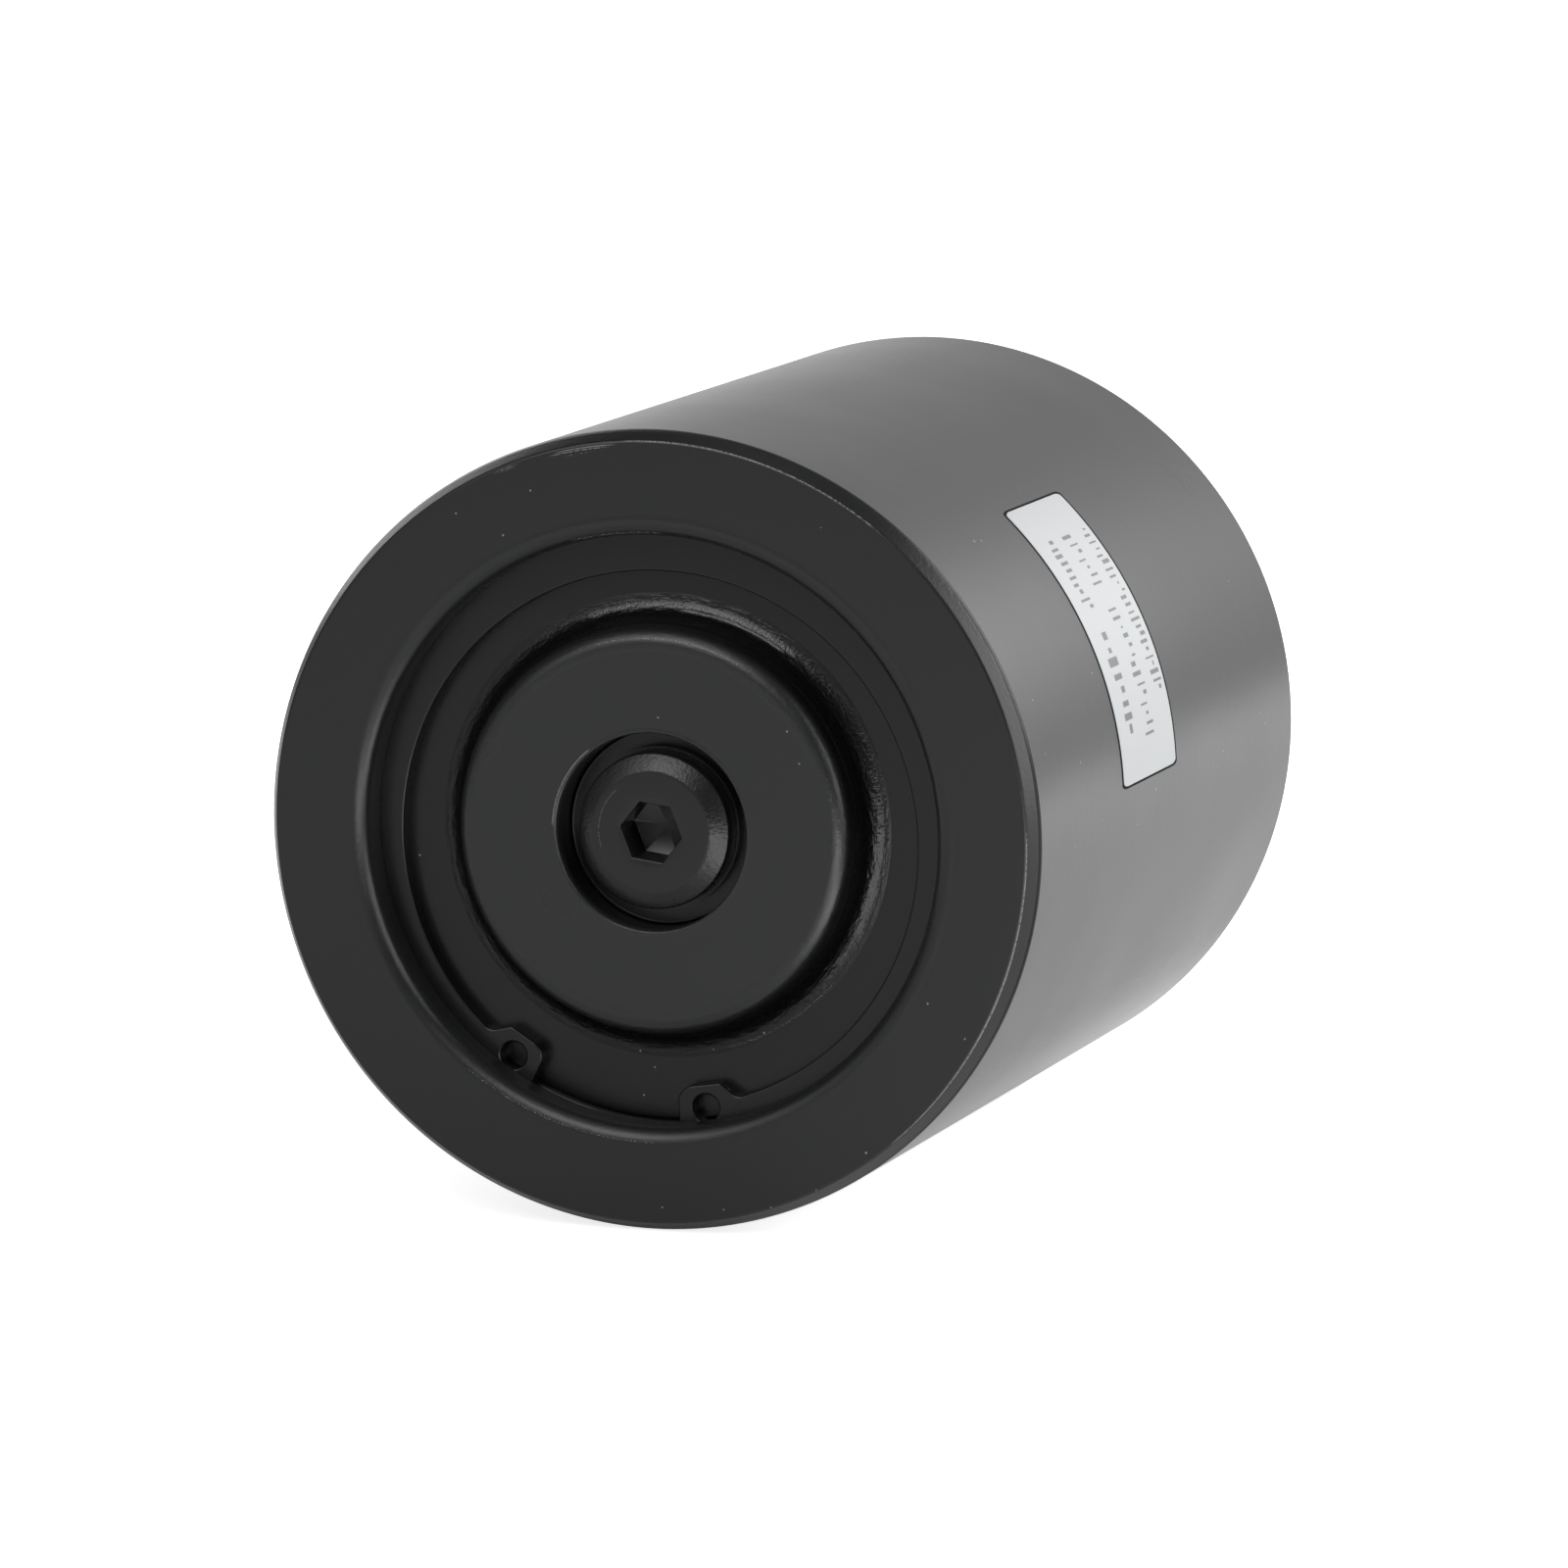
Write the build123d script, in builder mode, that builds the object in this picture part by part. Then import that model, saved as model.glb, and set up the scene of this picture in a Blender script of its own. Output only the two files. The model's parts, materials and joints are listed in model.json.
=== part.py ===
"""Carrier roller of a small tracked excavator, in millimetres.

A turned steel roller runs on two deep-groove ball bearings on a stub shaft that stands out of
one end only. A flanged cover with an oil plug closes the other end, held by a retaining ring,
and a pair of lapped seal rings keeps the oil in where the shaft comes out.

The origin is at the middle of the tread, on the spin axis. +Y runs along the shaft from the
closed end to the stub, +Z is up. Depths are counted from the shell's closed end face.
"""
from build123d import *
from math import cos, isclose, radians, tan
import os

os.makedirs("parts", exist_ok=True)

# Roller shell
shell_wall = 10.98
shell_length = 104.6
rim_chamfer_length = 1.8
rim_chamfer_height = 1.05
lip_radius = 1.8
cover_seat_chamfer = 0.6
shoulder_thickness = 6.0
shoulder_height = 3.5

# Ball bearings, two alike; the shares are of the section's height, from bore to outside
bearing_bore_radius = 15.0
bearing_section_height = 16.0
bearing_width = 16.0
ball_diameter_share = 0.5953
ball_count = 9
raceway_conformity = 0.52
land_gap_share = 0.41875
bearing_corner_radius = 1.0
cage_wall = 0.8
cage_band_share = 0.2375
rivet_radius = 0.7
rivet_head_radius = 1.35
rivet_head_height = 0.5

# Tubes that keep the bearings apart
spacer_wall = 2.6

# Retaining ring of the cover
cover_ring_depth = 4.5
cover_ring_thickness = 2.0
cover_ring_groove_height = 1.5
cover_ring_back_width = 5.5
cover_ring_eccentricity = 1.25
cover_ring_gap_direction = 258.1
cover_ring_half_gap_angle = 15.5
cover_ring_edge_radius = 0.25
lug_tip_inset = 5.05
lug_tip_angle = 25.3
lug_root_inset = 3.0
lug_root_angle = 28.6
lug_gap_corner_radius = 1.8
lug_tip_corner_radius = 0.5
lug_root_corner_radius = 1.2
lug_hole_radius = 1.45
lug_hole_inset = 2.65
lug_hole_angle = 21.4

# End cover
cover_length = 15.5
cover_boss_height = 5.4
cover_flange_width = 10.1
cover_boss_draft = 1.7
cover_boss_edge_radius = 1.8
cover_boss_foot_radius = 1.9
cover_pocket_length = 7.5
cover_skirt_wall = 4.5
cover_counterbore_radius = 10.35
cover_counterbore_edge_radius = 0.35
cover_o_ring_depth = 3.0
cover_o_ring_width = 3.4
cover_o_ring_height = 2.4

# Oil plug and its washer
plug_sink = 0.05
plug_head_radius = 8.25
plug_head_height = 3.4
plug_chamfer_width = 1.9
plug_chamfer_height = 1.1
plug_thread_radius = 6.0
plug_shank_length = 9.0
plug_socket_flats = 5.9
plug_socket_depth = 4.8
plug_socket_turn = 52.2
plug_drill_depth = 1.4
plug_washer_radius = 8.6
plug_washer_thickness = 1.5

# Shaft
shaft_shoulder_height = 3.6
stub_radius = 15.0
stub_length = 50.0
collar_seat_height = 0.5
stub_chamfer = 1.5
shaft_end_land = 2.0
shaft_end_chamfer = 1.0
centre_hole_radius = 3.0
centre_hole_depth = 4.0
bolt_hole_radius = 6.5
bolt_hole_to_end = 16.0

# Retaining ring of the shaft and the washer behind it
shaft_ring_thickness = 1.5
shaft_ring_groove_height = 0.7
shaft_ring_back_width = 4.0
shaft_ring_eccentricity = 0.7
shaft_ring_gap_direction = 90.0
shaft_ring_half_gap_angle = 9.0
shaft_ring_lug_angle = 16.0
shaft_ring_lug_size = 2.3
shaft_ring_hole_radius = 1.0
thrust_washer_thickness = 2.0
thrust_washer_width = 4.0

# Lapped seal, one ring turning and one standing still
seal_cone_angle = 15.0
seal_pocket_length = 9.6
seal_mouth_wall = 10.7
seal_tail_wall = 3.0
seal_ring_length = 9.0
seal_flange_clearance = 1.7
seal_flange_thickness = 3.7
seal_band_width = 3.6
seal_relief = 0.4
toric_section = 3.9
toric_setback = 6.0

# Collar that holds the standing seal ring
collar_gap = 1.4
collar_lip_wall = 2.7
collar_floor = 4.9
collar_hub_wall = 8.5
collar_hub_length = 5.5
collar_edge_chamfer = 1.0
collar_foot_radius = 2.0
collar_o_ring_depth = 1.6
collar_o_ring_width = 2.8
collar_o_ring_height = 2.1
collar_pin_radius = 2.0
collar_pin_in_shaft = 6.0
collar_pin_below_hub = 0.3

# Clearances
seat_clearance = 0.02
ball_clearance = 0.02
pocket_clearance = 0.15
groove_clearance = 0.10
seal_film = 0.02
o_ring_clearance = 0.02
spacer_clearance = 0.05

# How near two sizes are to count as the same when an edge is looked for
same_place = 0.005

# Sizes that follow from the ones above
bearing_outer_radius = bearing_bore_radius + bearing_section_height
bore_radius = bearing_outer_radius + seat_clearance
tread_radius = bore_radius + shell_wall
shoulder_bore_radius = bearing_outer_radius - shoulder_height
shaft_radius = bearing_bore_radius - seat_clearance
shaft_shoulder_radius = bearing_bore_radius + shaft_shoulder_height
collar_seat_radius = stub_radius + collar_seat_height
pitch_radius = (bearing_bore_radius + bearing_outer_radius) / 2
ball_radius = ball_diameter_share * bearing_section_height / 2
raceway_radius = 2 * ball_radius * raceway_conformity
raceway_offset = raceway_radius - ball_radius - ball_clearance
bearing_ring_wall = (1 - land_gap_share) * bearing_section_height / 2
cage_band_width = cage_band_share * bearing_section_height
cover_depth = cover_ring_depth + cover_ring_thickness
front_bearing_depth = cover_depth + cover_length
shell_pocket_depth = shell_length - seal_pocket_length
shoulder_depth = shell_pocket_depth - shoulder_thickness
rear_bearing_depth = shoulder_depth - bearing_width
spacer_length = rear_bearing_depth - front_bearing_depth - bearing_width
seal_depth = shell_length + collar_gap / 2
collar_depth = shell_length + collar_gap
collar_pocket_floor_depth = collar_depth + seal_pocket_length
collar_hub_depth = collar_pocket_floor_depth + collar_floor
stub_depth = collar_hub_depth + collar_hub_length
shaft_end_depth = stub_depth + stub_length
seal_mouth_radius = tread_radius - seal_mouth_wall
seal_slope = tan(radians(seal_cone_angle))
seal_slant = cos(radians(seal_cone_angle))


def station(depth):
    """Y coordinate of a depth behind the shell's closed end face."""
    return depth - shell_length / 2


def facing_plane(depth):
    """Plane across the axis at this depth, seen from the closed end: X right, Z up."""
    return Plane.XZ.offset(-station(depth))


def corners(*pairs):
    """Corner points of a turned part's outline, from pairs of a radius and a depth."""
    return [(radius, station(depth)) for radius, depth in pairs]


def round_edge(piece, radius, depth):
    """The full-circle edge of this radius at this depth."""
    place = station(depth)
    circles = piece.edges().filter_by(GeomType.CIRCLE)
    level = circles.filter_by(lambda edge: isclose(edge.arc_center.Y, place, abs_tol=same_place))
    return level.filter_by(lambda edge: isclose(edge.radius, radius, abs_tol=same_place))


def turned(angle, radius):
    """Point at this angle and radius, in a plane across the axis."""
    return Vector(radius, 0).rotate(Axis.Z, angle)


def upright_edge(piece, plane, angle, radius):
    """The straight edge along the axis that lies nearest to this angle and radius."""
    straight = piece.edges().filter_by(GeomType.LINE).filter_by(Axis.Y)
    return straight.sort_by_distance(plane.from_local_coords(turned(angle, radius)))[0]


def seal_pocket_radius(setback):
    """Radius of the cone that a toric ring presses on, at this distance from the seal faces."""
    return seal_mouth_radius - (setback - collar_gap / 2) * seal_slope


def seal_tail_radius(setback):
    """Radius of the cone on the seal ring's tail, across the toric ring from the pocket."""
    return seal_pocket_radius(setback) - (toric_section + 2 * o_ring_clearance) / seal_slant


# Roller shell: a thick tube with a chamfered rim at each end, bored from the closed end for
# the cover, the bearings and their spacer up to a shoulder, and coned at the open end
with BuildPart() as roller_shell:
    with BuildSketch(Plane.XY):
        with BuildLine():
            Polyline(*corners(
                (bore_radius, 0),
                (tread_radius - rim_chamfer_height, 0),
                (tread_radius, rim_chamfer_length),
                (tread_radius, shell_length - rim_chamfer_length),
                (tread_radius - rim_chamfer_height, shell_length),
                (seal_mouth_radius, shell_length),
                (seal_pocket_radius(seal_depth - shell_pocket_depth), shell_pocket_depth),
                (shoulder_bore_radius, shell_pocket_depth),
                (shoulder_bore_radius, shoulder_depth),
                (bore_radius, shoulder_depth),
            ), close=True)
        make_face()
    revolve(axis=Axis.Y)
    fillet(round_edge(roller_shell, bore_radius, 0), radius=lip_radius)
    with BuildSketch(Plane.XY):
        with BuildLine():
            Polyline(*corners(
                (bore_radius - groove_clearance, cover_ring_depth - seat_clearance),
                (bore_radius + cover_ring_groove_height, cover_ring_depth - seat_clearance),
                (bore_radius + cover_ring_groove_height, cover_depth + groove_clearance),
                (bore_radius + cover_seat_chamfer, cover_depth + groove_clearance),
                (bore_radius, cover_depth + groove_clearance + cover_seat_chamfer),
                (bore_radius - groove_clearance, cover_depth + groove_clearance + cover_seat_chamfer),
            ), close=True)
        make_face()
    revolve(axis=Axis.Y, mode=Mode.SUBTRACT)
roller_shell.part.label = "roller_shell"
export_step(roller_shell.part, "parts/roller_shell.step")


# End cover: a plug-like disc with a raised round boss, a counterbore for the oil plug, a groove
# for its O-ring and a pocket behind that leaves room for the end of the shaft
boss_top_depth = cover_depth - cover_boss_height
counterbore_depth = boss_top_depth + plug_sink + plug_head_height + plug_washer_thickness
cover_radius = bore_radius - seat_clearance
cover_boss_radius = cover_radius - cover_flange_width
cover_pocket_radius = cover_radius - cover_skirt_wall
cover_groove_depth = cover_depth + cover_o_ring_depth
cover_groove_end_depth = cover_groove_depth + cover_o_ring_width + 2 * groove_clearance
with BuildPart() as end_cover:
    with BuildSketch(Plane.XY):
        with BuildLine():
            Polyline(*corners(
                (plug_thread_radius + seat_clearance, counterbore_depth),
                (cover_counterbore_radius, counterbore_depth),
                (cover_counterbore_radius, boss_top_depth),
                (cover_boss_radius, boss_top_depth),
                (cover_boss_radius + cover_boss_draft, cover_depth),
                (cover_radius, cover_depth),
                (cover_radius, cover_groove_depth),
                (cover_radius - cover_o_ring_height, cover_groove_depth),
                (cover_radius - cover_o_ring_height, cover_groove_end_depth),
                (cover_radius, cover_groove_end_depth),
                (cover_radius, front_bearing_depth),
                (cover_pocket_radius, front_bearing_depth),
                (cover_pocket_radius, front_bearing_depth - cover_pocket_length),
                (plug_thread_radius + seat_clearance, front_bearing_depth - cover_pocket_length),
            ), close=True)
        make_face()
    revolve(axis=Axis.Y)
    fillet(
        round_edge(end_cover, cover_boss_radius + cover_boss_draft, cover_depth),
        radius=cover_boss_foot_radius,
    )
    fillet(round_edge(end_cover, cover_boss_radius, boss_top_depth), radius=cover_boss_edge_radius)
    fillet(
        round_edge(end_cover, cover_counterbore_radius, boss_top_depth),
        radius=cover_counterbore_edge_radius,
    )
end_cover.part.label = "end_cover"
export_step(end_cover.part, "parts/end_cover.step")

# O-ring of the cover, drawn as squeezed into its groove
with BuildPart() as cover_o_ring:
    with BuildSketch(Plane.XY):
        with Locations((
            cover_radius - cover_o_ring_height / 2,
            station(cover_groove_depth + groove_clearance + cover_o_ring_width / 2),
        )):
            RectangleRounded(
                cover_o_ring_height - 2 * o_ring_clearance,
                cover_o_ring_width,
                radius=0.45 * (cover_o_ring_height - 2 * o_ring_clearance),
            )
    revolve(axis=Axis.Y)
cover_o_ring.part.label = "cover_o_ring"
export_step(cover_o_ring.part, "parts/cover_o_ring.step")


# Retaining ring of the cover: a flat spring ring, widest opposite its gap, with a lug and a
# pliers hole at each end
cover_ring_outer_radius = bore_radius + cover_ring_groove_height - groove_clearance
cover_ring_inner_radius = cover_ring_outer_radius - cover_ring_back_width + cover_ring_eccentricity
lug_foot_radius = cover_ring_outer_radius - cover_ring_groove_height
lug_tip_radius = cover_ring_outer_radius - lug_tip_inset
lug_root_radius = cover_ring_outer_radius - lug_root_inset
lug_hole_place_radius = cover_ring_outer_radius - lug_hole_inset
lug_outline = (
    (cover_ring_half_gap_angle, lug_foot_radius),
    (cover_ring_half_gap_angle, lug_tip_radius),
    (lug_tip_angle, lug_tip_radius),
    (lug_root_angle, lug_root_radius),
    (lug_root_angle, lug_foot_radius),
)
lug_corners = (
    (cover_ring_half_gap_angle, lug_tip_radius, lug_gap_corner_radius),
    (lug_tip_angle, lug_tip_radius, lug_tip_corner_radius),
    (lug_root_angle, lug_root_radius, lug_root_corner_radius),
)
cover_ring_plane = facing_plane(cover_ring_depth)
with BuildPart() as cover_retaining_ring:
    with BuildSketch(cover_ring_plane):
        Circle(cover_ring_outer_radius)
        with Locations(turned(cover_ring_gap_direction, cover_ring_eccentricity)):
            Circle(cover_ring_inner_radius, mode=Mode.SUBTRACT)
        with BuildLine():
            Polyline(
                (0, 0),
                turned(cover_ring_gap_direction - cover_ring_half_gap_angle, 2 * cover_ring_outer_radius),
                turned(cover_ring_gap_direction + cover_ring_half_gap_angle, 2 * cover_ring_outer_radius),
                close=True,
            )
        make_face(mode=Mode.SUBTRACT)
        for side in (-1, 1):
            lug_points = [
                turned(cover_ring_gap_direction + side * angle, radius) for angle, radius in lug_outline
            ]
            with BuildLine():
                Polyline(*lug_points, close=True)
            make_face()
        with Locations(*[
            turned(cover_ring_gap_direction + side * lug_hole_angle, lug_hole_place_radius)
            for side in (-1, 1)
        ]):
            Circle(lug_hole_radius, mode=Mode.SUBTRACT)
    extrude(amount=-cover_ring_thickness)
    for side in (-1, 1):
        for angle, radius, rounding in lug_corners:
            direction = cover_ring_gap_direction + side * angle
            fillet(upright_edge(cover_retaining_ring, cover_ring_plane, direction, radius), radius=rounding)
    front_face = cover_retaining_ring.faces().filter_by(GeomType.PLANE).sort_by(Axis.Y)[0]
    fillet(front_face.edges(), radius=cover_ring_edge_radius)
cover_retaining_ring.part.label = "cover_retaining_ring"
export_step(cover_retaining_ring.part, "parts/cover_retaining_ring.step")


# Oil plug: a collared screw plug with a hexagon socket
plug_top_depth = boss_top_depth + plug_sink
plug_seat_depth = plug_top_depth + plug_head_height
with BuildPart() as oil_plug:
    with BuildSketch(Plane.XY):
        with BuildLine():
            Polyline(*corners(
                (0, plug_top_depth),
                (plug_head_radius - plug_chamfer_width, plug_top_depth),
                (plug_head_radius, plug_top_depth + plug_chamfer_height),
                (plug_head_radius, plug_seat_depth),
                (plug_thread_radius, plug_seat_depth),
                (plug_thread_radius, plug_seat_depth + plug_washer_thickness + plug_shank_length),
                (0, plug_seat_depth + plug_washer_thickness + plug_shank_length),
            ), close=True)
        make_face()
    revolve(axis=Axis.Y)
    with BuildSketch(facing_plane(plug_top_depth)):
        RegularPolygon(plug_socket_flats / 2, 6, major_radius=False, rotation=plug_socket_turn)
    extrude(amount=-plug_socket_depth, mode=Mode.SUBTRACT)
    with BuildSketch(Plane.XY):
        with BuildLine():
            Polyline(*corners(
                (0, plug_top_depth + plug_socket_depth),
                (plug_socket_flats / 2, plug_top_depth + plug_socket_depth),
                (0, plug_top_depth + plug_socket_depth + plug_drill_depth),
            ), close=True)
        make_face()
    revolve(axis=Axis.Y, mode=Mode.SUBTRACT)
oil_plug.part.label = "oil_plug"
export_step(oil_plug.part, "parts/oil_plug.step")

# Sealing washer under the plug's collar
with BuildPart() as plug_washer:
    with BuildSketch(Plane.XY):
        with BuildLine():
            Polyline(*corners(
                (plug_thread_radius + seat_clearance, plug_seat_depth),
                (plug_washer_radius, plug_seat_depth),
                (plug_washer_radius, counterbore_depth),
                (plug_thread_radius + seat_clearance, counterbore_depth),
            ), close=True)
        make_face()
    revolve(axis=Axis.Y)
plug_washer.part.label = "plug_washer"
export_step(plug_washer.part, "parts/plug_washer.step")


# Shaft: two bearing seats in front of a shoulder that runs under the seal, then the stub with
# its cross hole for the retaining bolt
shaft_ring_depth = front_bearing_depth - thrust_washer_thickness - shaft_ring_thickness
shaft_front_depth = shaft_ring_depth - seat_clearance - shaft_end_land
shaft_groove_radius = shaft_radius - shaft_ring_groove_height
collar_pin_depth = collar_hub_depth + collar_hub_length / 2
with BuildPart() as shaft:
    with BuildSketch(Plane.XY):
        with BuildLine():
            Polyline(*corners(
                (0, shaft_front_depth),
                (shaft_radius - shaft_end_chamfer, shaft_front_depth),
                (shaft_radius, shaft_front_depth + shaft_end_chamfer),
                (shaft_radius, shaft_ring_depth - seat_clearance),
                (shaft_groove_radius, shaft_ring_depth - seat_clearance),
                (shaft_groove_radius, shaft_ring_depth + shaft_ring_thickness + groove_clearance),
                (shaft_radius, shaft_ring_depth + shaft_ring_thickness + groove_clearance),
                (shaft_radius, shoulder_depth),
                (shaft_shoulder_radius, shoulder_depth),
                (shaft_shoulder_radius, collar_pocket_floor_depth),
                (collar_seat_radius, collar_pocket_floor_depth),
                (collar_seat_radius, stub_depth),
                (stub_radius, stub_depth),
                (stub_radius, shaft_end_depth - stub_chamfer),
                (stub_radius - stub_chamfer, shaft_end_depth),
                (centre_hole_radius, shaft_end_depth),
                (0, shaft_end_depth - centre_hole_depth),
            ), close=True)
        make_face()
    revolve(axis=Axis.Y)
    with BuildSketch(Plane.YZ):
        with Locations((station(shaft_end_depth - bolt_hole_to_end), 0)):
            Circle(bolt_hole_radius)
    extrude(amount=stub_radius, both=True, mode=Mode.SUBTRACT)
    with BuildSketch(Plane.XY.offset(collar_seat_radius - collar_pin_in_shaft)):
        with Locations((0, station(collar_pin_depth))):
            Circle(collar_pin_radius + seat_clearance)
    extrude(amount=collar_pin_in_shaft, mode=Mode.SUBTRACT)
shaft.part.label = "shaft"
export_step(shaft.part, "parts/shaft.step")


# Retaining ring of the shaft: the same kind of ring turned inside out, with its lugs outward
shaft_ring_inner_radius = shaft_groove_radius + seat_clearance
shaft_ring_outer_radius = shaft_ring_inner_radius + shaft_ring_back_width - shaft_ring_eccentricity
shaft_ring_lugs = [
    turned(shaft_ring_gap_direction + side * shaft_ring_lug_angle, shaft_ring_outer_radius)
    for side in (-1, 1)
]
with BuildPart() as shaft_retaining_ring:
    with BuildSketch(facing_plane(shaft_ring_depth)):
        with Locations(turned(shaft_ring_gap_direction + 180, shaft_ring_eccentricity)):
            Circle(shaft_ring_outer_radius)
        with Locations(*shaft_ring_lugs):
            Circle(shaft_ring_lug_size)
        Circle(shaft_ring_inner_radius, mode=Mode.SUBTRACT)
        with BuildLine():
            Polyline(
                (0, 0),
                turned(shaft_ring_gap_direction - shaft_ring_half_gap_angle, 2 * shaft_ring_outer_radius),
                turned(shaft_ring_gap_direction + shaft_ring_half_gap_angle, 2 * shaft_ring_outer_radius),
                close=True,
            )
        make_face(mode=Mode.SUBTRACT)
        with Locations(*shaft_ring_lugs):
            Circle(shaft_ring_hole_radius, mode=Mode.SUBTRACT)
    extrude(amount=-shaft_ring_thickness)
shaft_retaining_ring.part.label = "shaft_retaining_ring"
export_step(shaft_retaining_ring.part, "parts/shaft_retaining_ring.step")

# Thrust washer between that ring and the front bearing's inner ring
with BuildPart() as thrust_washer:
    with BuildSketch(facing_plane(front_bearing_depth)):
        Circle(bearing_bore_radius + thrust_washer_width)
        Circle(bearing_bore_radius, mode=Mode.SUBTRACT)
    extrude(amount=thrust_washer_thickness)
thrust_washer.part.label = "thrust_washer"
export_step(thrust_washer.part, "parts/thrust_washer.step")

# Spacer tubes between the two bearings, one on the shaft and one in the shell
spacer_middle_depth = front_bearing_depth + bearing_width + spacer_length / 2
inner_spacer_middle_radius = bearing_bore_radius + spacer_clearance + spacer_wall / 2
outer_spacer_middle_radius = bore_radius - spacer_clearance - spacer_wall / 2
with BuildPart() as inner_spacer:
    with BuildSketch(Plane.XY):
        with Locations((inner_spacer_middle_radius, station(spacer_middle_depth))):
            Rectangle(spacer_wall, spacer_length)
    revolve(axis=Axis.Y)
inner_spacer.part.label = "inner_spacer"
export_step(inner_spacer.part, "parts/inner_spacer.step")

with BuildPart() as outer_spacer:
    with BuildSketch(Plane.XY):
        with Locations((outer_spacer_middle_radius, station(spacer_middle_depth))):
            Rectangle(spacer_wall, spacer_length)
    revolve(axis=Axis.Y)
outer_spacer.part.label = "outer_spacer"
export_step(outer_spacer.part, "parts/outer_spacer.step")


# Two deep-groove ball bearings: grooved rings, nine balls, and a pressed cage of two ribbon
# halves that cup the balls and are riveted together between them
cage_inner_radius = pitch_radius - cage_band_width / 2
cage_outer_radius = pitch_radius + cage_band_width / 2
cup_radius = ball_radius + pocket_clearance
half_pitch_angle = 180 / ball_count
bearings = (("front_bearing", front_bearing_depth), ("rear_bearing", rear_bearing_depth))
for bearing, bearing_depth in bearings:
    middle_depth = bearing_depth + bearing_width / 2
    middle_plane = facing_plane(middle_depth)

    with BuildPart() as outer_ring:
        with BuildSketch(Plane.XY):
            with Locations((bearing_outer_radius - bearing_ring_wall / 2, station(middle_depth))):
                Rectangle(bearing_ring_wall, bearing_width)
            with Locations((pitch_radius - raceway_offset, station(middle_depth))):
                Circle(raceway_radius, mode=Mode.SUBTRACT)
        revolve(axis=Axis.Y)
        fillet(
            round_edge(outer_ring, bearing_outer_radius, bearing_depth)
            + round_edge(outer_ring, bearing_outer_radius, bearing_depth + bearing_width),
            radius=bearing_corner_radius,
        )
    outer_ring.part.label = f"{bearing}_outer_ring"
    export_step(outer_ring.part, f"parts/{bearing}_outer_ring.step")

    with BuildPart() as inner_ring:
        with BuildSketch(Plane.XY):
            with Locations((bearing_bore_radius + bearing_ring_wall / 2, station(middle_depth))):
                Rectangle(bearing_ring_wall, bearing_width)
            with Locations((pitch_radius + raceway_offset, station(middle_depth))):
                Circle(raceway_radius, mode=Mode.SUBTRACT)
        revolve(axis=Axis.Y)
        fillet(
            round_edge(inner_ring, bearing_bore_radius, bearing_depth)
            + round_edge(inner_ring, bearing_bore_radius, bearing_depth + bearing_width),
            radius=bearing_corner_radius,
        )
    inner_ring.part.label = f"{bearing}_inner_ring"
    export_step(inner_ring.part, f"parts/{bearing}_inner_ring.step")

    with BuildPart(middle_plane) as balls:
        with PolarLocations(pitch_radius, ball_count):
            Sphere(ball_radius)
    balls.part.label = f"{bearing}_balls"
    export_step(balls.part, f"parts/{bearing}_balls.step")

    for half, outward in (("front", 1), ("rear", -1)):
        with BuildPart() as cage_half:
            with BuildSketch(middle_plane):
                Circle(cage_outer_radius)
                Circle(cage_inner_radius, mode=Mode.SUBTRACT)
            extrude(amount=outward * cage_wall)
            with Locations(middle_plane):
                with PolarLocations(pitch_radius, ball_count):
                    Sphere(cup_radius + cage_wall)
            with BuildSketch(middle_plane):
                Circle(cage_outer_radius)
                Circle(cage_inner_radius, mode=Mode.SUBTRACT)
            extrude(amount=outward * bearing_width / 2, mode=Mode.INTERSECT)
            with Locations(middle_plane):
                with PolarLocations(pitch_radius, ball_count):
                    Sphere(cup_radius, mode=Mode.SUBTRACT)
                with PolarLocations(pitch_radius, ball_count, start_angle=half_pitch_angle):
                    Cylinder(rivet_radius + seat_clearance, bearing_width, mode=Mode.SUBTRACT)
        cage_half.part.label = f"{bearing}_{half}_cage_half"
        export_step(cage_half.part, f"parts/{bearing}_{half}_cage_half.step")

    with BuildPart() as cage_rivets:
        with Locations(middle_plane):
            with PolarLocations(pitch_radius, ball_count, start_angle=half_pitch_angle):
                Cylinder(rivet_radius, 2 * cage_wall)
        for outward in (1, -1):
            with Locations(middle_plane.offset(outward * (cage_wall + rivet_head_height / 2))):
                with PolarLocations(pitch_radius, ball_count, start_angle=half_pitch_angle):
                    Cylinder(rivet_head_radius, rivet_head_height)
    cage_rivets.part.label = f"{bearing}_cage_rivets"
    export_step(cage_rivets.part, f"parts/{bearing}_cage_rivets.step")


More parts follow.
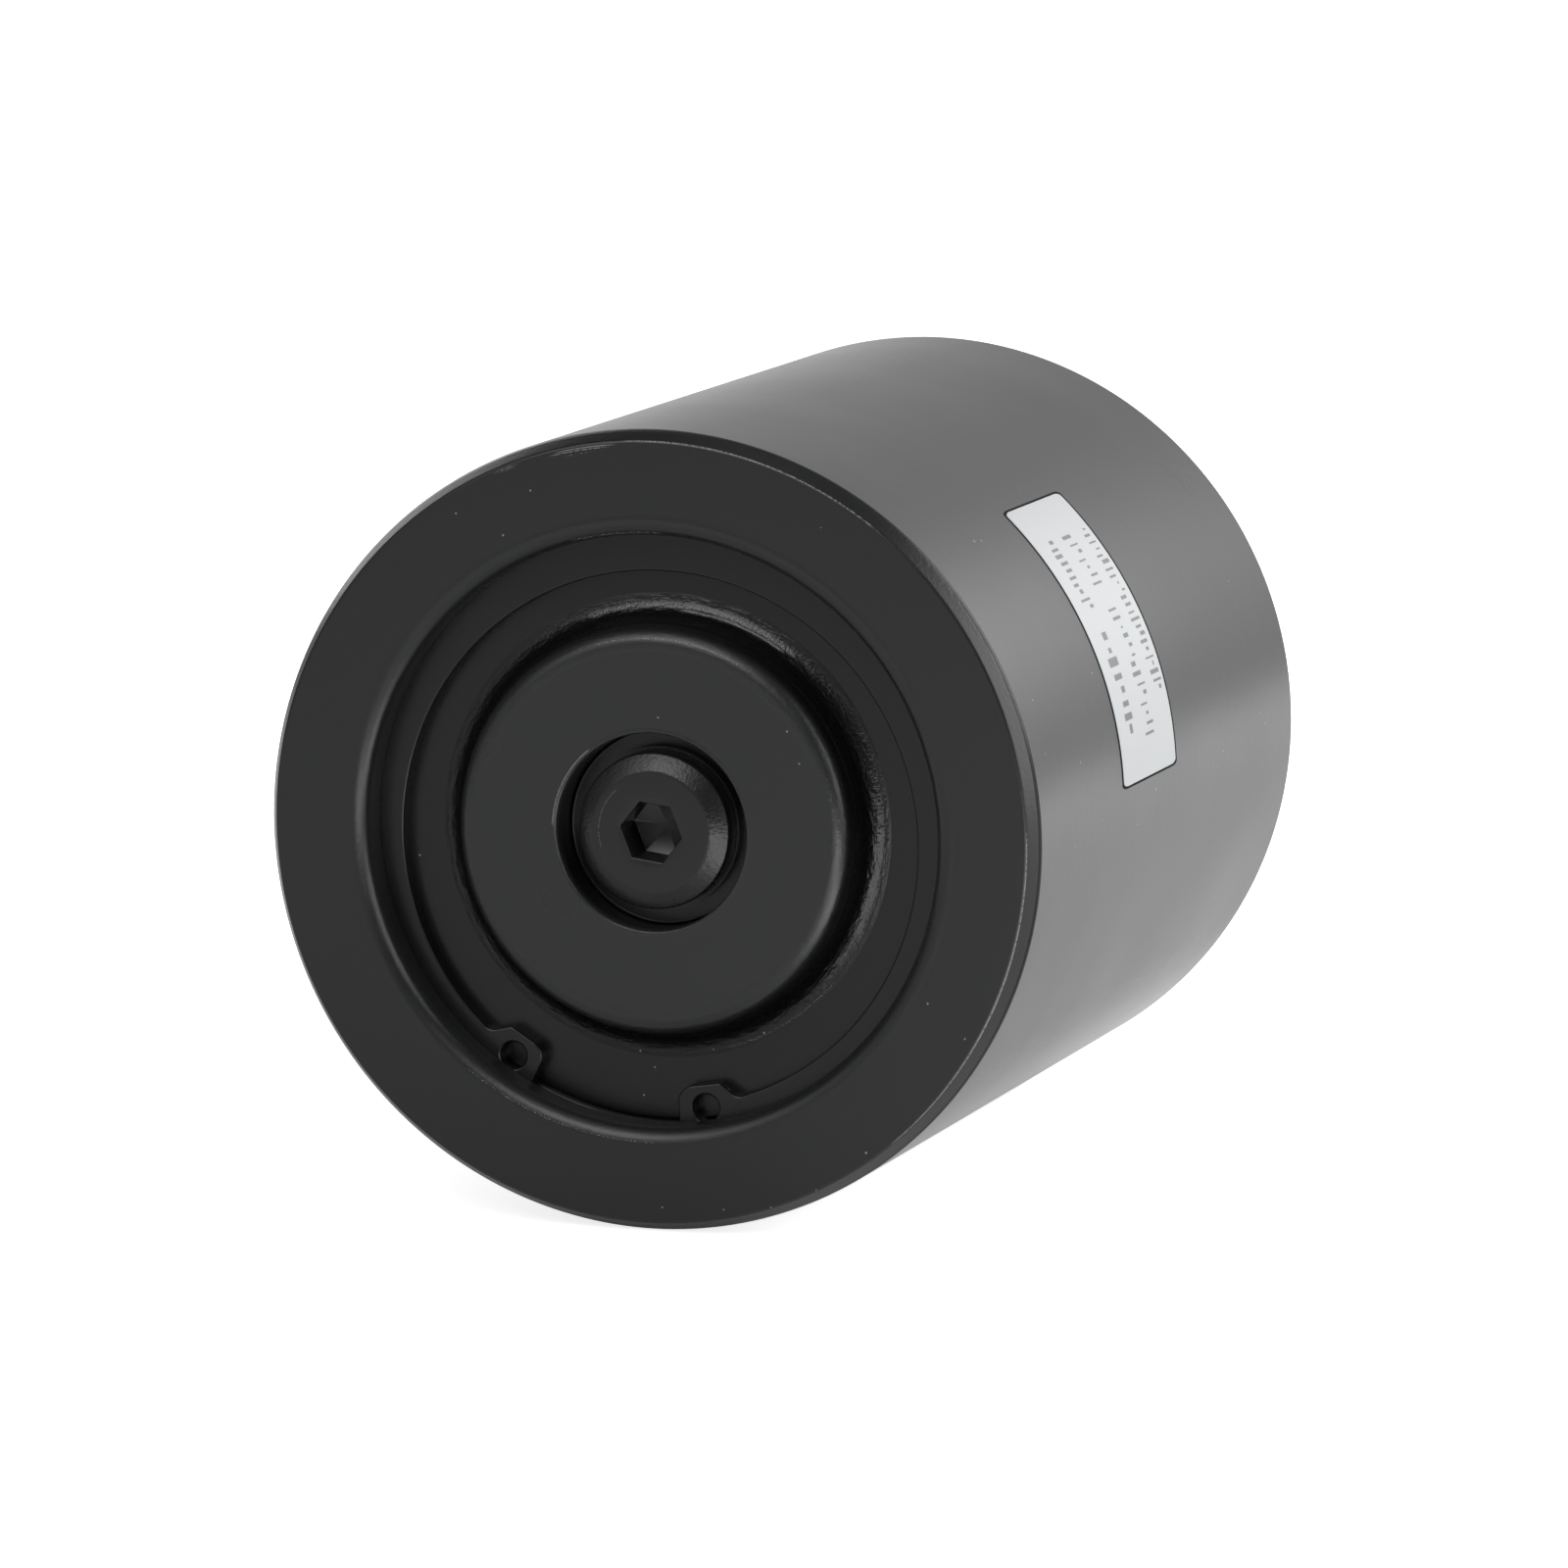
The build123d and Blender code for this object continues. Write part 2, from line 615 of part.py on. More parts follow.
# Floating seal: two equal rings face to face, each carried by a rubber toric ring on a cone, the
# first turning with the shell and the second standing still in the collar
seal_bore_radius = seal_tail_radius(seal_ring_length) - seal_tail_wall
seal_flange_radius = seal_pocket_radius(seal_flange_thickness) - seal_flange_clearance
seal_band_radius = seal_flange_radius - seal_band_width
for name, toric_name, side in (
    ("turning_seal_ring", "turning_toric_ring", -1),
    ("fixed_seal_ring", "fixed_toric_ring", 1),
):
    with BuildPart() as seal_ring:
        with BuildSketch(Plane.XY):
            with BuildLine():
                Polyline(*corners(
                    (seal_bore_radius, seal_depth + side * seal_ring_length),
                    (seal_tail_radius(seal_ring_length), seal_depth + side * seal_ring_length),
                    (seal_tail_radius(seal_flange_thickness), seal_depth + side * seal_flange_thickness),
                    (seal_flange_radius, seal_depth + side * seal_flange_thickness),
                    (seal_flange_radius, seal_depth + side * seal_film / 2),
                    (seal_band_radius, seal_depth + side * seal_film / 2),
                    (seal_band_radius, seal_depth + side * seal_relief),
                    (seal_bore_radius, seal_depth + side * seal_relief),
                ), close=True)
            make_face()
        revolve(axis=Axis.Y)
    seal_ring.part.label = name
    export_step(seal_ring.part, f"parts/{name}.step")

    with BuildPart() as toric_ring:
        with BuildSketch(Plane.XY):
            with Locations((
                seal_pocket_radius(toric_setback) - (toric_section / 2 + o_ring_clearance) / seal_slant,
                station(seal_depth + side * toric_setback),
            )):
                Circle(toric_section / 2)
        revolve(axis=Axis.Y)
    toric_ring.part.label = toric_name
    export_step(toric_ring.part, f"parts/{toric_name}.step")


# Seal collar: a stepped cup pressed on the stub against the shaft's shoulder
collar_bore_radius = collar_seat_radius + seat_clearance
collar_radius = seal_mouth_radius + collar_lip_wall
collar_hub_radius = collar_seat_radius + collar_hub_wall
collar_groove_depth = collar_pocket_floor_depth + collar_o_ring_depth
collar_groove_end_depth = collar_groove_depth + collar_o_ring_width + 2 * groove_clearance
with BuildPart() as seal_collar:
    with BuildSketch(Plane.XY):
        with BuildLine():
            Polyline(*corners(
                (seal_mouth_radius, collar_depth),
                (collar_radius, collar_depth),
                (collar_radius, collar_hub_depth),
                (collar_hub_radius, collar_hub_depth),
                (collar_hub_radius, stub_depth),
                (collar_bore_radius, stub_depth),
                (collar_bore_radius, collar_groove_end_depth),
                (collar_bore_radius + collar_o_ring_height, collar_groove_end_depth),
                (collar_bore_radius + collar_o_ring_height, collar_groove_depth),
                (collar_bore_radius, collar_groove_depth),
                (collar_bore_radius, collar_pocket_floor_depth),
                (seal_pocket_radius(collar_pocket_floor_depth - seal_depth), collar_pocket_floor_depth),
            ), close=True)
        make_face()
    revolve(axis=Axis.Y)
    chamfer(round_edge(seal_collar, collar_radius, collar_hub_depth), length=collar_edge_chamfer)
    fillet(round_edge(seal_collar, collar_hub_radius, collar_hub_depth), radius=collar_foot_radius)
    with BuildSketch(Plane.XY):
        with Locations((0, station(collar_pin_depth))):
            Circle(collar_pin_radius + seat_clearance)
    extrude(amount=collar_hub_radius, mode=Mode.SUBTRACT)
seal_collar.part.label = "seal_collar"
export_step(seal_collar.part, "parts/seal_collar.step")

# O-ring between the collar and the stub
with BuildPart() as collar_o_ring:
    with BuildSketch(Plane.XY):
        with Locations((
            collar_bore_radius + collar_o_ring_height / 2,
            station(collar_groove_depth + groove_clearance + collar_o_ring_width / 2),
        )):
            RectangleRounded(
                collar_o_ring_height - 2 * o_ring_clearance,
                collar_o_ring_width,
                radius=0.45 * (collar_o_ring_height - 2 * o_ring_clearance),
            )
    revolve(axis=Axis.Y)
collar_o_ring.part.label = "collar_o_ring"
export_step(collar_o_ring.part, "parts/collar_o_ring.step")

# Dowel pin that locks the collar to the shaft
collar_pin_foot = collar_seat_radius - collar_pin_in_shaft + seat_clearance
collar_pin_top = collar_hub_radius - collar_pin_below_hub
with BuildPart() as collar_pin:
    with BuildSketch(Plane.XY.offset(collar_pin_foot)):
        with Locations((0, station(collar_pin_depth))):
            Circle(collar_pin_radius)
    extrude(amount=collar_pin_top - collar_pin_foot)
collar_pin.part.label = "collar_pin"
export_step(collar_pin.part, "parts/collar_pin.step")
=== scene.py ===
# %% [markdown]
# # A carrier roller, dressed for its portrait
# A carrier roller holds up the top run of a digger's track. This one is a turned steel barrel in
# satin black paint. A round cover with an oil plug closes the near end, and a flat spring ring
# holds the cover in. The construction comes in as a fixed frame. Blender adds what the eye reads:
# soft paint edges, orange peel, chips, a sticker, light and a camera.

# %% Load the frame
import json
from math import cos, pi, radians, sin

import bmesh
import bpy
from mathutils import Matrix, Vector


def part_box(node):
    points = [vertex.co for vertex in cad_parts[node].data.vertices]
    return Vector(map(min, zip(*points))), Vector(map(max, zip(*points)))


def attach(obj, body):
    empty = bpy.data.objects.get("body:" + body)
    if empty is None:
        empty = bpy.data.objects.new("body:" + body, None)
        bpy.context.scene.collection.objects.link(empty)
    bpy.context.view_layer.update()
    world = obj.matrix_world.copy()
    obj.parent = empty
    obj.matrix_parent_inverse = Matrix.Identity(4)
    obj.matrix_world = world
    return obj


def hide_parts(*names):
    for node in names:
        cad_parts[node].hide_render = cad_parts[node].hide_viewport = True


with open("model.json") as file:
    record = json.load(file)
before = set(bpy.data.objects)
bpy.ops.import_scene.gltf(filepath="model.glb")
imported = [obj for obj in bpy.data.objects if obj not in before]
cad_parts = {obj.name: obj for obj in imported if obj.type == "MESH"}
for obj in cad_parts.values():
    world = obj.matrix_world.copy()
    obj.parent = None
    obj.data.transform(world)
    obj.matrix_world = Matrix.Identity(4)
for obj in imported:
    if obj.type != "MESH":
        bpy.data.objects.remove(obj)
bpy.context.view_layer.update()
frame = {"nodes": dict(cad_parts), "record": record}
nodes = frame["nodes"]
mm = 0.001

# %% [markdown]
# ## Measures
# Nothing is placed by eye. The main sizes are read from the frame's own boxes, and the rest are
# named here in millimetres. Depths count from the closed end face of the barrel, backwards.

# %% Measures from the frame
shell_low, shell_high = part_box("roller_shell")
cover_low, cover_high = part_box("end_cover")
ring_low, ring_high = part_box("cover_retaining_ring")
plug_low, plug_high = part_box("oil_plug")
face_y = shell_low.y
tread_radius = shell_high.x / mm
shell_length = (shell_high.y - shell_low.y) / mm
cover_radius = cover_high.x / mm
boss_top_depth = (cover_low.y - face_y) / mm
cover_floor_depth = (ring_high.y - face_y) / mm
cover_back_depth = (cover_high.y - face_y) / mm
ring_front_depth = (ring_low.y - face_y) / mm
plug_top_depth = (plug_low.y - face_y) / mm
plug_end_depth = (plug_high.y - face_y) / mm
plug_head_radius = plug_high.x / mm
cover_clearance = 0.02
bore_radius = cover_radius + cover_clearance
print("tread radius", round(tread_radius, 2), "mm, barrel length", round(shell_length, 2), "mm")


def station(depth):
    """Y in metres of a depth in millimetres behind the closed end face."""
    return face_y + depth * mm


# %% [markdown]
# ## Camera
# The photo was taken with a long lens from a little above and to the right of the closed end.
# The rim's circle fixes the camera: its centre lies at a known place in the picture, and its
# width gives the distance. The axes below are the camera's own right, down and forward.

# %% Camera at the photo's viewpoint
view_azimuth = radians(17.57)
view_elevation = radians(8.23)
picture_size = 1600
focal_pixels = 10321.3
sensor_width = 36
rim_to_right = -0.01365
rim_down = 0.00494
rim_forward = 1.05049

forward = Vector((
    -sin(view_azimuth) * cos(view_elevation),
    cos(view_azimuth) * cos(view_elevation),
    -sin(view_elevation),
))
right = Vector((cos(view_azimuth), sin(view_azimuth), 0))
down = forward.cross(right)
rim_centre = Vector((0, station(1.8), 0))

camera_data = bpy.data.cameras.new("portrait_camera")
camera_data.sensor_width = sensor_width
camera_data.lens = focal_pixels * sensor_width / picture_size
camera_data.clip_start = 0.01
camera = bpy.data.objects.new("portrait_camera", camera_data)
camera.location = rim_centre - right * rim_to_right - down * rim_down - forward * rim_forward
camera.rotation_euler = (pi / 2 - view_elevation, 0, view_azimuth)
bpy.context.scene.collection.objects.link(camera)
bpy.context.scene.camera = camera
print("lens", round(camera_data.lens, 1), "mm at", [round(c, 3) for c in camera.location])

# %% [markdown]
# ## Turning on a lathe
# Most of this object left a lathe, so it is made the same way here: half of a cross section is
# drawn as a chain of corners, each corner is rounded while it is still a flat outline, and a spin
# about Y turns it into a solid. Rounding first is cheap and exact, and it gives every painted
# edge the soft highlight that a sharp edge can't have.

# %% Lathe helper
round_steps = 240


def outline_into(bm, corners, closed):
    """Adds a chain of (radius, depth, rounding) corners and rounds them; returns its edges."""
    points = [bm.verts.new((r * mm, station(d), 0)) for r, d, _ in corners]
    pairs = list(zip(points, points[1:]))
    if closed:
        pairs.append((points[-1], points[0]))
    for pair in pairs:
        bm.edges.new(pair)
    for point, (_, _, rounding) in zip(points, corners):
        if rounding:
            bmesh.ops.bevel(
                bm, geom=[point], offset=rounding * mm, segments=5, profile=0.5,
                affect="VERTICES", material=-1,
            )
    return bm.edges[:]


def spin_about_y(bm):
    bmesh.ops.spin(
        bm, geom=bm.verts[:] + bm.edges[:], cent=(0, 0, 0), axis=(0, 1, 0), angle=2 * pi,
        steps=round_steps, use_merge=True,
    )
    bmesh.ops.remove_doubles(bm, verts=bm.verts[:], dist=0.001 * mm)


def finished(bm, name, weighted=True):
    """Turns the bmesh into an object at the origin, smooth, with its flats kept flat."""
    bmesh.ops.recalc_face_normals(bm, faces=bm.faces[:])
    mesh = bpy.data.meshes.new(name)
    bm.to_mesh(mesh)
    bm.free()
    mesh.shade_smooth()
    mesh.set_sharp_from_angle(angle=radians(35))
    piece = bpy.data.objects.new(name, mesh)
    bpy.context.scene.collection.objects.link(piece)
    if weighted:
        flats = piece.modifiers.new("keep_flats_flat", "WEIGHTED_NORMAL")
        flats.keep_sharp = True
    print(name, len(mesh.polygons), "faces")
    return piece


def turned_piece(name, corners, closed=True):
    bm = bmesh.new()
    outline_into(bm, corners, closed)
    spin_about_y(bm)
    return finished(bm, name)


# %% [markdown]
# ## Barrel
# The barrel is a thick tube. Its rim is chamfered, and the paint has rounded both edges of the
# chamfer. The bore opens with a generous lip, which catches the strongest highlights of the
# closed end, and a groove behind it takes the spring ring.

# %% Barrel
rim_chamfer_length = 1.8
rim_chamfer_height = 1.05
lip_rounding = 1.8
seat_chamfer = 0.6
ring_groove_radius = bore_radius + 1.5
seal_mouth_radius = tread_radius - 10.7
seal_pocket_length = 9.6
seal_pocket_floor_radius = seal_mouth_radius - 2.57
shoulder_radius = bore_radius - 3.52
shoulder_thickness = 6.0
pocket_depth = shell_length - seal_pocket_length
groove_front_depth = ring_front_depth - 0.02
groove_back_depth = cover_floor_depth + 0.1

barrel = turned_piece("barrel", [
    (bore_radius, 0, lip_rounding),
    (tread_radius - rim_chamfer_height, 0, 0.25),
    (tread_radius, rim_chamfer_length, 0.5),
    (tread_radius, shell_length - rim_chamfer_length, 0.3),
    (tread_radius - rim_chamfer_height, shell_length, 0.25),
    (seal_mouth_radius, shell_length, 0.2),
    (seal_pocket_floor_radius, pocket_depth, 0.1),
    (shoulder_radius, pocket_depth, 0.3),
    (shoulder_radius, pocket_depth - shoulder_thickness, 0.3),
    (bore_radius, pocket_depth - shoulder_thickness, 0.1),
    (bore_radius, groove_back_depth + seat_chamfer, 0.08),
    (bore_radius + seat_chamfer, groove_back_depth, 0.05),
    (ring_groove_radius, groove_back_depth, 0.1),
    (ring_groove_radius, groove_front_depth, 0.1),
    (bore_radius, groove_front_depth, 0.1),
])
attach(barrel, "roller")
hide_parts("roller_shell")

# %% [markdown]
# ## End cover
# The cover is one turned disc with a raised round boss. The boss runs into the floor through a
# wide hollow curve, and thick paint has gathered there.

# %% End cover
boss_radius = 20.9
boss_draft = 1.7
counterbore_radius = 10.35
counterbore_depth = plug_top_depth + 4.9
thread_hole_radius = 6.02
o_ring_groove_start = cover_floor_depth + 3.0
o_ring_groove_end = o_ring_groove_start + 3.6
o_ring_groove_radius = cover_radius - 2.4
skirt_radius = cover_radius - 4.5
pocket_floor_depth = cover_back_depth - 7.5

cover = turned_piece("cover_disc", [
    (thread_hole_radius, counterbore_depth, 0),
    (counterbore_radius, counterbore_depth, 0.3),
    (counterbore_radius, boss_top_depth, 0.35),
    (boss_radius, boss_top_depth, 1.3),
    (boss_radius + boss_draft, cover_floor_depth, 1.6),
    (cover_radius, cover_floor_depth, 0.15),
    (cover_radius, o_ring_groove_start, 0.1),
    (o_ring_groove_radius, o_ring_groove_start, 0.1),
    (o_ring_groove_radius, o_ring_groove_end, 0.1),
    (cover_radius, o_ring_groove_end, 0.1),
    (cover_radius, cover_back_depth, 0.3),
    (skirt_radius, cover_back_depth, 0.3),
    (skirt_radius, pocket_floor_depth, 0.8),
    (thread_hole_radius, pocket_floor_depth, 0),
])
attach(cover, "roller")
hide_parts("end_cover")

# %% [markdown]
# ## Oil plug
# The plug's collar is turned, but its socket is a hexagon, and a spin can't make that. So the
# spin stops at a circle just outside the socket. A hexagon with as many points as that circle is
# bridged to it, pulled down for the walls, and drawn together at the bottom. A circle of six
# segments has its first corner at the top, so the turn is counted from there.

# %% Oil plug
socket_flats = 5.9
socket_corner_angle = radians(52.2)
socket_depth = 4.8
socket_border = 0.5
socket_tip = 1.2
socket_edge_rounding = 0.14
plug_chamfer_width = 1.9
plug_chamfer_height = 1.1
plug_head_height = 3.4
plug_shank_radius = 6.0
socket_corner_radius = socket_flats / 2 / cos(pi / 6)
plug_seat_depth = plug_top_depth + plug_head_height


def boundary_edges(bm, near_radius):
    """Open edges whose ends lie within this radius of the axis, in millimetres."""
    limit = near_radius * mm
    return [
        edge for edge in bm.edges
        if edge.is_boundary and all(Vector((v.co.x, v.co.z)).length < limit for v in edge.verts)
    ]


bm = bmesh.new()
outline_into(bm, [
    (socket_corner_radius + socket_border, plug_top_depth, 0),
    (plug_head_radius - plug_chamfer_width, plug_top_depth, 0.3),
    (plug_head_radius, plug_top_depth + plug_chamfer_height, 0.25),
    (plug_head_radius, plug_seat_depth, 0.2),
    (plug_shank_radius, plug_seat_depth, 0),
    (plug_shank_radius, plug_end_depth, 0.8),
    (0, plug_end_depth, 0),
], closed=False)
spin_about_y(bm)
collar_loop = boundary_edges(bm, socket_corner_radius + 2 * socket_border)

to_socket = Matrix.Translation((0, station(plug_top_depth), 0)) @ Matrix.Rotation(pi / 2, 4, "X")
to_socket = to_socket @ Matrix.Rotation(socket_corner_angle - pi / 2, 4, "Z")
hexagon = bmesh.ops.create_circle(
    bm, cap_ends=False, radius=socket_corner_radius * mm, segments=6, matrix=to_socket,
)
hexagon_edges = list({edge for vert in hexagon["verts"] for edge in vert.link_edges})
bmesh.ops.subdivide_edges(bm, edges=hexagon_edges, cuts=round_steps // 6 - 1)
socket_loop = [edge for edge in bm.edges if edge.is_wire]
bmesh.ops.bridge_loops(bm, edges=collar_loop + socket_loop)

rim_loop = boundary_edges(bm, socket_corner_radius + socket_border / 2)
walls = bmesh.ops.extrude_edge_only(bm, edges=rim_loop)["geom"]
wall_feet = [item for item in walls if isinstance(item, bmesh.types.BMVert)]
bmesh.ops.translate(bm, verts=wall_feet, vec=(0, socket_depth * mm, 0))
foot_loop = [
    item for item in walls
    if isinstance(item, bmesh.types.BMEdge) and all(v in wall_feet for v in item.verts)
]
tip = bmesh.ops.extrude_edge_only(bm, edges=foot_loop)["geom"]
tip_verts = [item for item in tip if isinstance(item, bmesh.types.BMVert)]
tip_depth = plug_top_depth + socket_depth + socket_tip
bmesh.ops.pointmerge(bm, verts=tip_verts, merge_co=(0, station(tip_depth), 0))
bmesh.ops.bevel(
    bm, geom=rim_loop, offset=socket_edge_rounding * mm, segments=3, profile=0.5,
    affect="EDGES", material=-1,
)
plug = finished(bm, "plug_with_socket")
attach(plug, "roller")
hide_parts("oil_plug")

# %% [markdown]
# ## Sticker
# A white paper sticker is rolled onto the tread. It starts as one straight edge across its
# width. A short spin about the roller's own axis bends it exactly to the tread, its four corners
# are rounded, and a thin wall gives it an edge that catches light. A slightly larger dark patch
# lies under it and reaches out furthest behind it: a painted shadow along the sticker's edge.

# %% Sticker
sticker_start = 2.8
sticker_end = 46.9
sticker_front_depth = 33.3
sticker_width = 20.4
sticker_corner = 2.3
# How far the painted shadow reaches past the sticker, and further behind it.
shadow_border = 0.28
shadow_behind = 0.62


def tread_patch(name, border, behind, lift, thickness):
    """A rounded patch bent to the tread, in millimetres: the sticker plus a border.

    The border behind the sticker has a width of its own.
    """
    bm = bmesh.new()
    across, around = 12, 60
    border_angle = border / radians(1) / tread_radius
    start = radians(sticker_start - border_angle)
    sweep = radians(sticker_end - sticker_start + 2 * border_angle)
    radius = (tread_radius + lift) * mm
    width = sticker_width + border + behind
    row = []
    for i in range(across + 1):
        depth = sticker_front_depth - border + width * i / across
        row.append(bm.verts.new((radius * cos(start), station(depth), radius * sin(start))))
    for pair in zip(row, row[1:]):
        bm.edges.new(pair)
    bmesh.ops.spin(
        bm, geom=bm.verts[:] + bm.edges[:], cent=(0, 0, 0), axis=(0, -1, 0), angle=sweep, steps=around,
    )
    corner_verts = [vert for vert in bm.verts if len(vert.link_edges) == 2]
    bmesh.ops.bevel(
        bm, geom=corner_verts, offset=(sticker_corner + border) * mm, segments=6, profile=0.5,
        affect="VERTICES", material=-1,
    )
    bmesh.ops.recalc_face_normals(bm, faces=bm.faces[:])
    bmesh.ops.solidify(bm, geom=bm.faces[:], thickness=-thickness * mm)
    patch = finished(bm, name, weighted=False)
    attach(patch, "roller")
    return patch


# The dark patch under the sticker is a painted shadow.
painted_sticker_shadow = tread_patch("painted_sticker_shadow", shadow_border, shadow_behind, lift=0.01, thickness=0.03)
sticker = tread_patch("blank_sticker", border=0.0, behind=0.0, lift=0.02, thickness=0.06)

# %% [markdown]
# ## Node helpers
# Every material is a small net of nodes. These helpers keep such a net readable: one makes a
# node and sets its values, one does a sum, and one wraps repeated nets as a group.

# %% Node helpers


def add_node(tree, kind, **values):
    """A node of this kind. Keys that name inputs set or link them; the rest set properties."""
    node = tree.nodes.new(kind)
    for key, value in values.items():
        socket = node.inputs.get(key.replace("_", " "))
        if socket is None:
            setattr(node, key, value)
        elif isinstance(value, bpy.types.NodeSocket):
            tree.links.new(value, socket)
        else:
            socket.default_value = value
    return node


def sum_of(tree, operation, first, second=0.0, third=None, clamp=False):
    """A Math node's result; each term is a number or a socket."""
    node = tree.nodes.new("ShaderNodeMath")
    node.operation = operation
    node.use_clamp = clamp
    terms = [first, second] if third is None else [first, second, third]
    for socket, term in zip(node.inputs, terms):
        if isinstance(term, bpy.types.NodeSocket):
            tree.links.new(term, socket)
        else:
            socket.default_value = term
    return node.outputs[0]


def between(tree, value, low, high, soft):
    """A mask that is 1 where value lies between low and high, with soft borders."""
    rise = sum_of(tree, "DIVIDE", sum_of(tree, "SUBTRACT", value, low), soft, clamp=True)
    fall = sum_of(tree, "DIVIDE", sum_of(tree, "SUBTRACT", high, value), soft, clamp=True)
    return sum_of(tree, "MULTIPLY", rise, fall)


def new_group(name, inputs, outputs):
    """An empty node group with float inputs, and outputs given as (name, socket type)."""
    group = bpy.data.node_groups.new(name, "ShaderNodeTree")
    for label, value in inputs:
        socket = group.interface.new_socket(label, in_out="INPUT", socket_type="NodeSocketFloat")
        socket.default_value = value
    for label, kind in outputs:
        group.interface.new_socket(label, in_out="OUTPUT", socket_type=kind)
    return group, group.nodes.new("NodeGroupInput").outputs, group.nodes.new("NodeGroupOutput").inputs


def use_group(tree, group, **values):
    """Puts a group into this tree, sets or links its inputs, and returns its outputs."""
    node = tree.nodes.new("ShaderNodeGroup")
    node.node_tree = group
    for key, value in values.items():
        socket = node.inputs[key.replace("_", " ")]
        if isinstance(value, bpy.types.NodeSocket):
            tree.links.new(value, socket)
        else:
            socket.default_value = value
    return node.outputs


# %% [markdown]
# ## Polar places
# Wear on a turned thing runs round it. This group turns a point on the piece into its distance
# from the axis, its angle in degrees from the right-hand side, and its depth, all on Object
# coordinates, so that the marks turn with the roller.

# %% Polar coordinates group
polar, _, polar_out = new_group("polar_places", [], [
    ("Radius", "NodeSocketFloat"), ("Angle", "NodeSocketFloat"), ("Depth", "NodeSocketFloat"),
    ("Around", "NodeSocketVector"),
])
place = add_node(polar, "ShaderNodeTexCoord").outputs["Object"]
axes = add_node(polar, "ShaderNodeSeparateXYZ", Vector=place).outputs
x_squared = sum_of(polar, "MULTIPLY", axes["X"], axes["X"])
z_squared = sum_of(polar, "MULTIPLY", axes["Z"], axes["Z"])
square_sum = sum_of(polar, "ADD", x_squared, z_squared)
radius_mm = sum_of(polar, "MULTIPLY", sum_of(polar, "SQRT", square_sum), 1 / mm)
angle_degrees = sum_of(polar, "DEGREES", sum_of(polar, "ARCTAN2", axes["Z"], axes["X"]))
depth_mm = sum_of(polar, "MULTIPLY", sum_of(polar, "SUBTRACT", axes["Y"], face_y), 1 / mm)
around = add_node(polar, "ShaderNodeCombineXYZ", X=radius_mm, Y=angle_degrees, Z=depth_mm).outputs[0]
polar.links.new(radius_mm, polar_out["Radius"])
polar.links.new(angle_degrees, polar_out["Angle"])
polar.links.new(depth_mm, polar_out["Depth"])
polar.links.new(around, polar_out["Around"])

# %% [markdown]
# ## Paint skin
# Sprayed satin paint is never flat. It has an orange peel about a millimetre wide and a finer
# grain, and one group gives the normal of both. It also gives a mask of a few specks of dust, and
# wide blotches by which the gloss differs from place to place.

# %% Orange peel and dust group
# A cell of the pattern gets a speck when its random value is over the first number.
speck_over = 0.87
speck_radius = 0.032
skin, skin_in, skin_out = new_group(
    "paint_skin",
    [("Peel", 0.006), ("Grain", 0.002), ("Extra", 0.0)],
    [("Normal", "NodeSocketVector"), ("Dust Mask", "NodeSocketFloat"), ("Blotch", "NodeSocketFloat")],
)
place = add_node(skin, "ShaderNodeTexCoord").outputs["Object"]
peel = add_node(skin, "ShaderNodeTexNoise", Vector=place, Scale=700.0, Detail=1.0).outputs["Fac"]
grain = add_node(skin, "ShaderNodeTexNoise", Vector=place, Scale=3200.0, Detail=2.0).outputs["Fac"]
specks = add_node(skin, "ShaderNodeTexVoronoi", Vector=place, Scale=260.0, Randomness=1.0)
speck_chance = add_node(skin, "ShaderNodeSeparateColor", Color=specks.outputs["Color"]).outputs["Red"]
keep = sum_of(skin, "GREATER_THAN", speck_chance, speck_over)
dot = sum_of(skin, "LESS_THAN", specks.outputs["Distance"], speck_radius)
dust = sum_of(skin, "MULTIPLY", keep, dot)
peel_height = sum_of(skin, "MULTIPLY", peel, skin_in["Peel"])
grain_height = sum_of(skin, "MULTIPLY", grain, skin_in["Grain"])
height = sum_of(skin, "ADD", sum_of(skin, "ADD", peel_height, grain_height), skin_in["Extra"])
skin_bump = add_node(skin, "ShaderNodeBump", Strength=1.0, Distance=mm, Height=height)
blotch = add_node(skin, "ShaderNodeTexNoise", Vector=place, Scale=45.0, Detail=3.0).outputs["Fac"]
skin.links.new(skin_bump.outputs[0], skin_out["Normal"])
skin.links.new(dust, skin_out["Dust Mask"])
skin.links.new(blotch, skin_out["Blotch"])

# %% [markdown]
# ## Creases and arcs
# Where thick paint meets a curve it puckers into creases that run round the piece, with a sandy
# grit between them. The first group gives the height of both. The helper below draws a thin arc
# at one radius, broken up by noise: every scratch and chipped edge, and some painted highlights.

# %% Creases group and arc helper
creases, creases_in, creases_out = new_group(
    "paint_creases", [("Crease", 0.02), ("Grit", 0.01)], [("Height", "NodeSocketFloat")],
)
where = use_group(creases, polar)
run_round = add_node(creases, "ShaderNodeMapping", Vector=where["Around"], Scale=(2.0, 0.22, 2.0))
ridges = add_node(creases, "ShaderNodeTexNoise", Vector=run_round.outputs[0], Scale=1.0, Detail=2.0)
place = add_node(creases, "ShaderNodeTexCoord").outputs["Object"]
sand = add_node(creases, "ShaderNodeTexNoise", Vector=place, Scale=2600.0, Detail=1.0).outputs["Fac"]
ridge_height = sum_of(creases, "MULTIPLY", ridges.outputs["Fac"], creases_in["Crease"])
crease_height = sum_of(creases, "MULTIPLY_ADD", sand, creases_in["Grit"], ridge_height)
creases.links.new(crease_height, creases_out["Height"])


